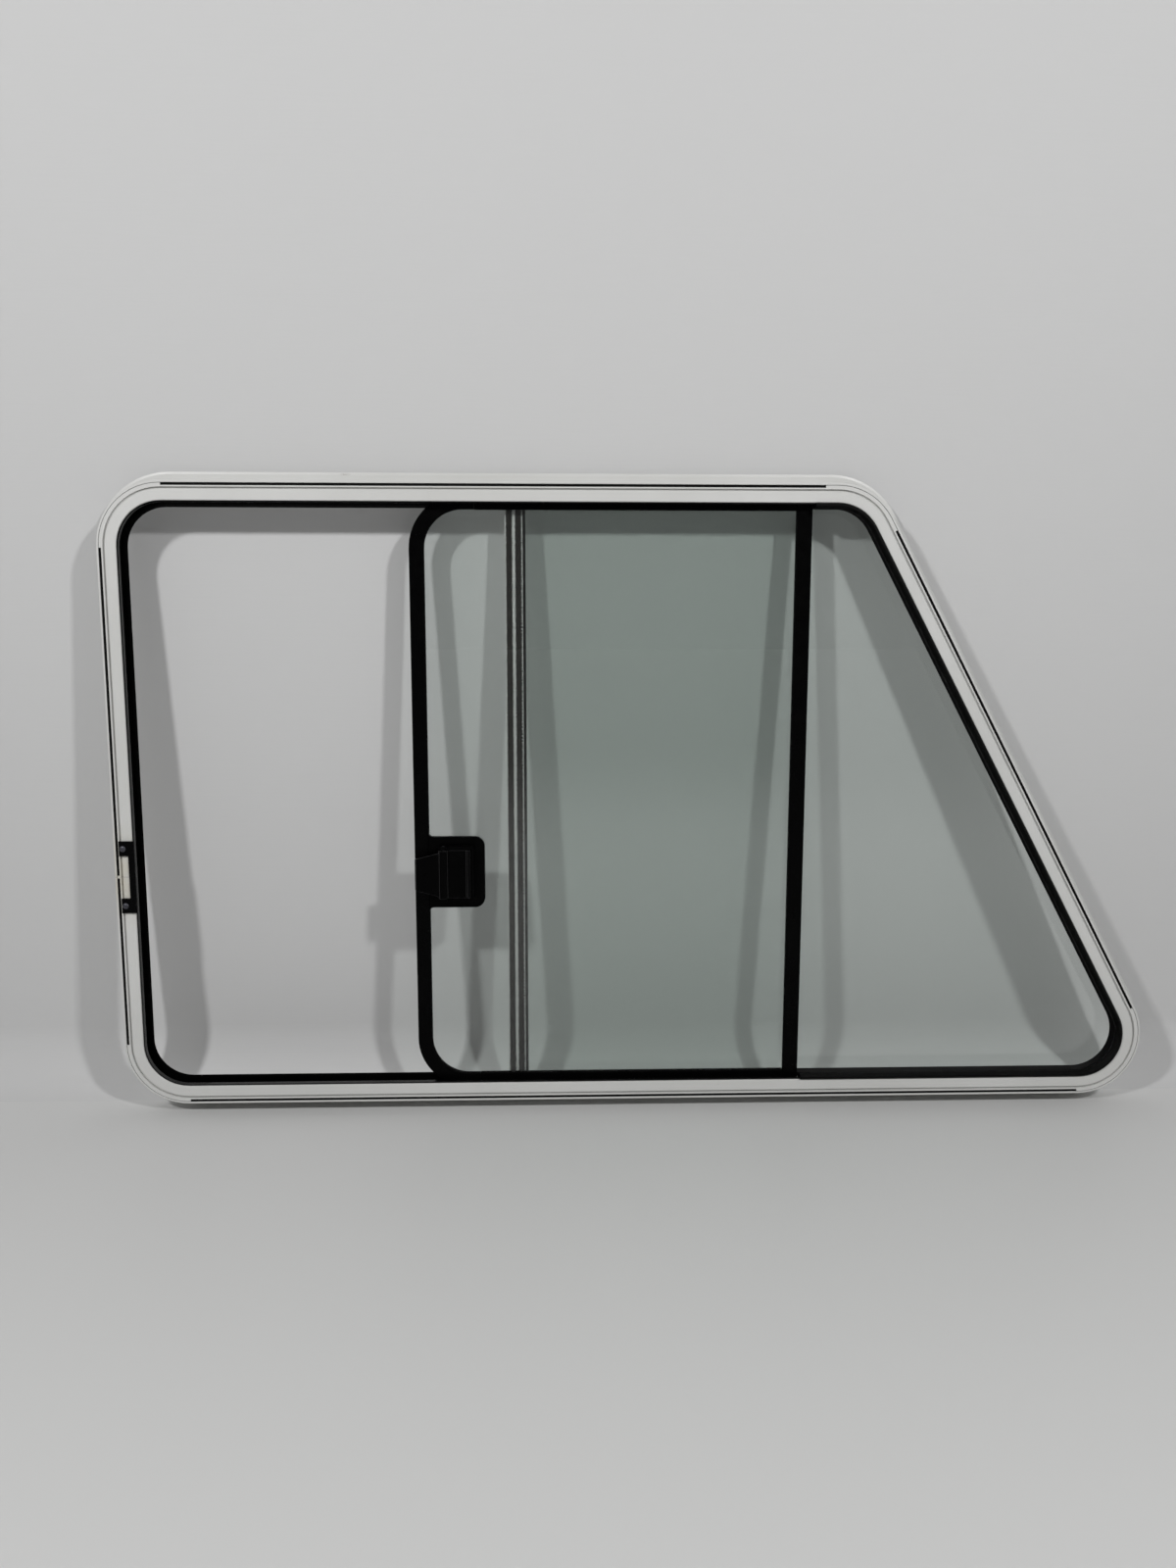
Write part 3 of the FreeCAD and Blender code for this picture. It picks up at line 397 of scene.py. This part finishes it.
def glassFinish(finish):
    material, tree, shader = startMaterial("tinted glass", finish)
    shader.inputs["Transmission Weight"].default_value = 1.0
    shader.inputs["IOR"].default_value = finish["ior"]
    wiped = grain(tree, place(tree, finish["wiped"]), finish["wipedScale"], detail=5, rough=0.6)
    smears = spread(tree, wiped, finish["wipedBand"], (finish["roughness"], finish["wipedMost"]))
    tree.links.new(smears, shader.inputs["Roughness"])
    path = tree.nodes.new("ShaderNodeLightPath").outputs
    lamps = tree.nodes.new("ShaderNodeBsdfTransparent")
    lamps.inputs["Color"].default_value = (*finish["lampColour"], 1)
    passing = sums(tree, "MAXIMUM", path["Is Shadow Ray"], path["Is Diffuse Ray"])
    chooseSurface(tree, passing, shader, lamps)
    return material


finishes = {
    "white_frame": powderCoat(frameCoat),
    "seal_rubber": rubberFinish("seal rubber", sealRubber),
    "insert_rubber": rubberFinish("insert rubber", insertRubber),
    "black_trim": plasticFinish("black trim", trimPlastic),
    "latch_plastic": plasticFinish("latch plastic", latchPlastic),
    "black_steel": plasticFinish("black painted steel", blackPaint),
    "bare_aluminium": drawnMetal("mill aluminium", postMetal),
    "pin_steel": drawnMetal("pin steel", pinSteel),
    "brush_pile": pileFinish(brushPile),
    "tinted_glass": glassFinish(paneGlass),
}
for node, slot in slotOf.items():
    mesh = nodes[node].data
    mesh.materials.clear()
    mesh.materials.append(finishes[slot])
nodes["filler_rubber"].data.materials[0] = rubberFinish("filler rubber", fillerRubber)
print("finishes on", len(slotOf), "nodes")


# A new piece on its body, in its slot
def finishPiece(name, mesh, slot, body, finish=None):
    bmesh.ops.recalc_face_normals(mesh, faces=mesh.faces)
    data = bpy.data.meshes.new(name)
    mesh.to_mesh(data)
    mesh.free()
    piece = bpy.data.objects.new(name, data)
    bpy.context.scene.collection.objects.link(piece)
    data.materials.append(finish or finishes[slot])
    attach(piece, body)
    return piece


# Moulded and stamped pieces with their sharp edges taken off
softEdges = {
    "width": 0.0005,
    "steps": 3,
    "flat": 1,                           # degrees between faces that become one
    "sharpest": 30,                      # degrees between faces that stay as they are
    "pieces": {"latch_plate": "sliding_pane", "latch_lever": "lever", "keeper": "frame"},
    # Bevel faces of the lever take the painted highlight plastic
    "paintedHighlight": {"latch_lever": plasticFinish("latch edges with painted highlight", edgeHighlightPlastic)},
}


def softened(node, body, settings):
    mesh = bmesh.new()
    mesh.from_mesh(nodes[node].data)
    bmesh.ops.remove_doubles(mesh, verts=mesh.verts, dist=weldReach)
    flat, limit = math.radians(settings["flat"]), math.radians(settings["sharpest"])
    bmesh.ops.dissolve_limit(mesh, angle_limit=flat, verts=mesh.verts, edges=mesh.edges)
    sharp = [edge for edge in mesh.edges if edge.is_manifold and edge.calc_face_angle() > limit]
    made = bmesh.ops.bevel(mesh, geom=sharp, offset=settings["width"], offset_type="OFFSET", affect="EDGES",
                           segments=settings["steps"], profile=0.5, material=-1, clamp_overlap=True)
    # Painted highlight: the new bevel faces get the lighter finish where one is given
    paintedHighlight = settings["paintedHighlight"].get(node)
    if paintedHighlight:
        for polygon in made["faces"]:
            polygon.material_index = 1
    piece = finishPiece(f"{node}_moulding", mesh, slotOf[node], body)
    if paintedHighlight:
        piece.data.materials.append(paintedHighlight)
    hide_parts(node)


for node, body in softEdges["pieces"].items():
    softened(node, body, softEdges)
print("edges softened")


# Domed screws of the keeper
keeperScrews = {
    "in": 0.0039,                        # from the ends of the keeper's ears
    "up": 0.00725,                       # from its head and foot
    "radius": 0.0031,
    "height": 0.0019,
    "rim": 0.25,                         # straight share of the height
    "domeSteps": 5,
    "shank": 0.00145,
    "shankDepth": 0.0015,
    "steps": 28,
}


def domedScrew(name, x, face, z, settings, finish):
    mesh = bmesh.new()
    radius, height, rim = settings["radius"], settings["height"], settings["rim"]
    shank, depth = settings["shank"], settings["shankDepth"]
    profile = [(0, depth), (shank, depth), (shank, 0), (radius, 0), (radius, -rim * height)]
    for step in range(1, settings["domeSteps"] + 1):
        turn = math.radians(90 * step / settings["domeSteps"])
        profile.append((radius * math.cos(turn), -height * (rim + (1 - rim) * math.sin(turn))))
    chain = [mesh.verts.new((max(out, 0), along, 0)) for out, along in profile]
    edges = [mesh.edges.new(pair) for pair in zip(chain, chain[1:])]
    bmesh.ops.spin(mesh, geom=chain + edges, cent=(0, 0, 0), axis=(0, 1, 0), angle=math.tau,
                   steps=settings["steps"], use_merge=True)
    bmesh.ops.remove_doubles(mesh, verts=mesh.verts, dist=weldReach)
    bmesh.ops.translate(mesh, verts=mesh.verts, vec=(x, face, z))
    for polygon in mesh.faces:
        polygon.smooth = True
    finishPiece(name, mesh, "black_steel", "frame", finish)


low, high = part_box("keeper")
screwFinish = drawnMetal("dark screw steel", screwSteel)
for name, z in (("upper", high.z - keeperScrews["up"]), ("lower", low.z + keeperScrews["up"])):
    domedScrew(f"keeper_screw_{name}", low.x + keeperScrews["in"], low.y, z, keeperScrews, screwFinish)
print("screws made")


# Ragged pile along both edges of each brush strip
brushFringe = {
    "spacing": 0.0017,
    "jitter": 0.3,                       # share of the spacing
    "width": 0.0015,
    "taper": 0.3,
    "sides": 5,
    "length": (0.0016, 0.0021),
    "lean": (8, 38),                     # degrees out over the post's ribs
    "flattened": (40, 66),               # pressed flat on the far right by the bead
    "root": 0.0003,                      # below the post's front
    "seed": 7,
}


def fringe(name, node, leans, settings):
    low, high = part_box(node)
    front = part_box("post")[0].y
    draw = random.Random(settings["seed"])
    mesh = bmesh.new()
    half, jitter = settings["width"] / 2, settings["jitter"]
    count = int((high.z - low.z) / settings["spacing"])
    forward = Matrix.Rotation(math.radians(90), 3, "X")
    for side, edge, leanRange in ((-1, low.x, leans[0]), (1, high.x, leans[1])):
        for index in range(count):
            z = low.z + (index + 0.5 + draw.uniform(-jitter, jitter)) * settings["spacing"]
            length = draw.uniform(*settings["length"])
            lean = math.radians(draw.uniform(*leanRange)) * side
            turn = Matrix.Rotation(lean, 3, "Z") @ forward
            tuft = bmesh.ops.create_cone(mesh, segments=settings["sides"], radius1=half, depth=length,
                                         radius2=half * settings["taper"], cap_ends=True)["verts"]
            bmesh.ops.translate(mesh, verts=tuft, vec=(0, 0, length / 2))
            bmesh.ops.rotate(mesh, verts=tuft, cent=(0, 0, 0), matrix=turn)
            bmesh.ops.translate(mesh, verts=tuft, vec=(edge, front + settings["root"], z))
    finishPiece(name, mesh, "brush_pile", "frame")


upright, flat = brushFringe["lean"], brushFringe["flattened"]
fringe("brush_fringe_left", "brush_left", (upright, upright), brushFringe)
fringe("brush_fringe_right", "brush_right", (upright, flat), brushFringe)
print("brush fringes made")


# Stage: pale floor at the window's foot and a pale sweep of paper close behind it
stageLook = {
    "floor": {"colour": (0.66, 0.66, 0.655), "roughness": 0.42, "specular": 0.25},
    "wall": {"colour": (0.63, 0.63, 0.63), "roughness": 0.9, "specular": 0.25},
    "fibres": (3, 3, 60),
    "fibreScale": 6,
    "bump": 0.05,
    "bumpDepth": 0.002,
    "floorSize": 30.0,
    "wallWidth": 4.4,
    "wallHeight": 2.6,
    "wallFoot": 0.066,                   # out from the flange seat at the floor
    "wallLean": -5.2,                    # towards the window's head, which rests on it
    "coveRadius": 0.056,
    "coveSteps": 12,
    "fade": (1.3, 3.6),                  # floor to surroundings, out from the window
    "mirrored": (-1.5, -0.3),            # along Y, where mirrored rays start to see the floor fade
    "pale": 0.80,                        # surroundings in views from the sides and behind
}


def paleRays(tree, behind):
    # 1 for rays that show the surroundings; mirrored ones show them at the sides and behind only
    path = tree.nodes.new("ShaderNodeLightPath").outputs
    firstMirror = 0.5
    unmirrored = sums(tree, "LESS_THAN", path["Glossy Depth"], firstMirror)
    through = sums(tree, "MULTIPLY", path["Is Transmission Ray"], unmirrored)
    mirrored = sums(tree, "MULTIPLY", path["Is Glossy Ray"], behind)
    return sums(tree, "MAXIMUM", path["Is Camera Ray"], sums(tree, "MAXIMUM", through, mirrored))


def paper(name, finish, settings):
    material, tree, shader = startMaterial(name, finish)
    fibres = grain(tree, place(tree, settings["fibres"]), settings["fibreScale"])
    dent(tree, shader, fibres, settings)
    return material, tree, shader


def floorPaper(settings):
    material, tree, shader = paper("pale floor", settings["floor"], settings)
    where = place(tree)
    rays = paleRays(tree, spread(tree, split(tree, where)["Y"], settings["mirrored"]))
    far = spread(tree, distance(tree, where), settings["fade"])
    glow = tree.nodes.new("ShaderNodeEmission")
    glow.inputs["Strength"].default_value = settings["pale"]
    chooseSurface(tree, sums(tree, "MULTIPLY", far, rays), shader, glow)
    return material


def backdropPaper(settings):
    # Shows from the front only, and lets light pass
    material, tree, shader = paper("pale backdrop", settings["wall"], settings)
    back = tree.nodes.new("ShaderNodeNewGeometry").outputs["Backfacing"]
    path = tree.nodes.new("ShaderNodeLightPath").outputs
    clear = tree.nodes.new("ShaderNodeBsdfTransparent")
    passing = sums(tree, "MAXIMUM", path["Is Shadow Ray"], path["Is Diffuse Ray"])
    chooseSurface(tree, sums(tree, "MAXIMUM", passing, back), shader, clear)
    return material


def floorSheet(settings, level):
    mesh = bmesh.new()
    bmesh.ops.create_grid(mesh, x_segments=1, y_segments=1, size=settings["floorSize"] / 2)
    bmesh.ops.translate(mesh, verts=mesh.verts, vec=(0, 0, level))
    return mesh


def backdropSheet(settings, level):
    # An arc out of the floor, then straight up, drawn out sideways
    mesh = bmesh.new()
    lean, radius = math.radians(settings["wallLean"]), settings["coveRadius"]
    width, height = settings["wallWidth"], settings["wallHeight"]
    start = settings["wallFoot"] - radius * (math.cos(lean) - (1 - math.sin(lean)) * math.tan(lean))
    foot = mesh.verts.new((-width / 2, start, level))
    arc = bmesh.ops.spin(mesh, geom=[foot], cent=(0, start, level + radius), axis=(1, 0, 0),
                         angle=math.pi / 2 - lean, steps=settings["coveSteps"])
    last = [item for item in arc["geom_last"] if isinstance(item, bmesh.types.BMVert)]
    top = bmesh.ops.extrude_vert_indiv(mesh, verts=last)["verts"]
    bmesh.ops.translate(mesh, verts=top, vec=(0, height * math.sin(lean), height * math.cos(lean)))
    drawn = bmesh.ops.extrude_edge_only(mesh, edges=mesh.edges[:])["geom"]
    far = [item for item in drawn if isinstance(item, bmesh.types.BMVert)]
    bmesh.ops.translate(mesh, verts=far, vec=(width, 0, 0))
    mesh.normal_update()
    if max(mesh.faces, key=lambda polygon: polygon.calc_area()).normal.y > 0:
        bmesh.ops.reverse_faces(mesh, faces=mesh.faces)
    for polygon in mesh.faces:
        polygon.smooth = True
    return mesh


def stageSheet(name, mesh, material):
    data = bpy.data.meshes.new(name)
    mesh.to_mesh(data)
    mesh.free()
    data.materials.append(material)
    sheet = bpy.data.objects.new(name, data)
    bpy.context.scene.collection.objects.link(sheet)


floorZ = cadBox[0].z
stageSheet("floor", floorSheet(stageLook, floorZ), floorPaper(stageLook))
stageSheet("backdrop", backdropSheet(stageLook, floorZ), backdropPaper(stageLook))

# Light from all round, stronger from behind and above, and a pale background
surroundings = {
    "colour": (1.0, 1.0, 0.995),
    "front": 0.06,
    "back": 0.55,
    "backBand": (-0.2, 0.6),             # along Y of the direction, from front to back
    "above": 0.12,
    "aboveBand": (0.3, 1),               # along Z of the direction
    "horizon": 0.12,                     # lets the floor fade into the front without a step
    "horizonBand": (0, 0.4),
    "mirrored": (-0.6, -0.2),            # along Y, where mirrored rays start to see the pale level
}


def paleWorld(settings, paleLevel):
    world = bpy.data.worlds.new("pale surroundings")
    bpy.context.scene.world = world
    world.use_nodes = True
    tree = world.node_tree
    sky = tree.nodes["Background"]
    sky.inputs["Color"].default_value = (*settings["colour"], 1)
    axes = split(tree, tree.nodes.new("ShaderNodeTexCoord").outputs["Generated"])
    ground = spread(tree, axes["Y"], settings["backBand"], (settings["front"], settings["back"]))
    overhead = spread(tree, axes["Z"], settings["aboveBand"], (0, settings["above"]))
    haze = spread(tree, axes["Z"], settings["horizonBand"], (settings["horizon"], 0))
    total = sums(tree, "ADD", sums(tree, "ADD", ground, overhead), haze)
    rays = paleRays(tree, spread(tree, axes["Y"], settings["mirrored"]))
    pale = sums(tree, "MULTIPLY", rays, paleLevel)
    tree.links.new(sums(tree, "MAXIMUM", total, pale), sky.inputs["Strength"])


paleWorld(surroundings, stageLook["pale"])

# Two small soft lamps in front
studioLamps = {
    "aim": (0, 0, 0.3),
    "watts": 15.2,
    "size": 0.12,
    "at": {"lamp_right": (0.85, -1.55, 1.50), "lamp_left": (-1.10, -1.50, 1.45)},
}
for name, spot in studioLamps["at"].items():
    light = bpy.data.lights.new(name, "AREA")
    light.energy = studioLamps["watts"]
    light.size = studioLamps["size"]
    lamp = bpy.data.objects.new(name, light)
    bpy.context.scene.collection.objects.link(lamp)
    lamp.location = spot
    aim = Vector(studioLamps["aim"]) - lamp.location
    lamp.rotation_euler = aim.to_track_quat("-Z", "Y").to_euler()
    lamp.visible_camera = False
print("stage and lamps set")

# Camera at the photograph's place
viewpoint = {
    "at": (-0.1026, -1.1604, 0.4921),
    "toward": (0.0315, 0.9890, -0.1444),
    "up": (0.0034, 0.1444, 0.9895),
    "lens": 27,
    "sensor": 36,
}
eye = bpy.data.cameras.new("camera")
eye.sensor_fit = "VERTICAL"
eye.sensor_height = viewpoint["sensor"]
eye.sensor_width = viewpoint["sensor"]
eye.lens = viewpoint["lens"]
camera = bpy.data.objects.new("camera", eye)
bpy.context.scene.collection.objects.link(camera)
ahead, top = Vector(viewpoint["toward"]).normalized(), Vector(viewpoint["up"]).normalized()
side = ahead.cross(top).normalized()
top = side.cross(ahead)
camera.matrix_world = Matrix.Translation(viewpoint["at"]) @ Matrix((side, top, -ahead)).transposed().to_4x4()
bpy.context.scene.camera = camera
bpy.context.scene.view_settings.view_transform = "Standard"
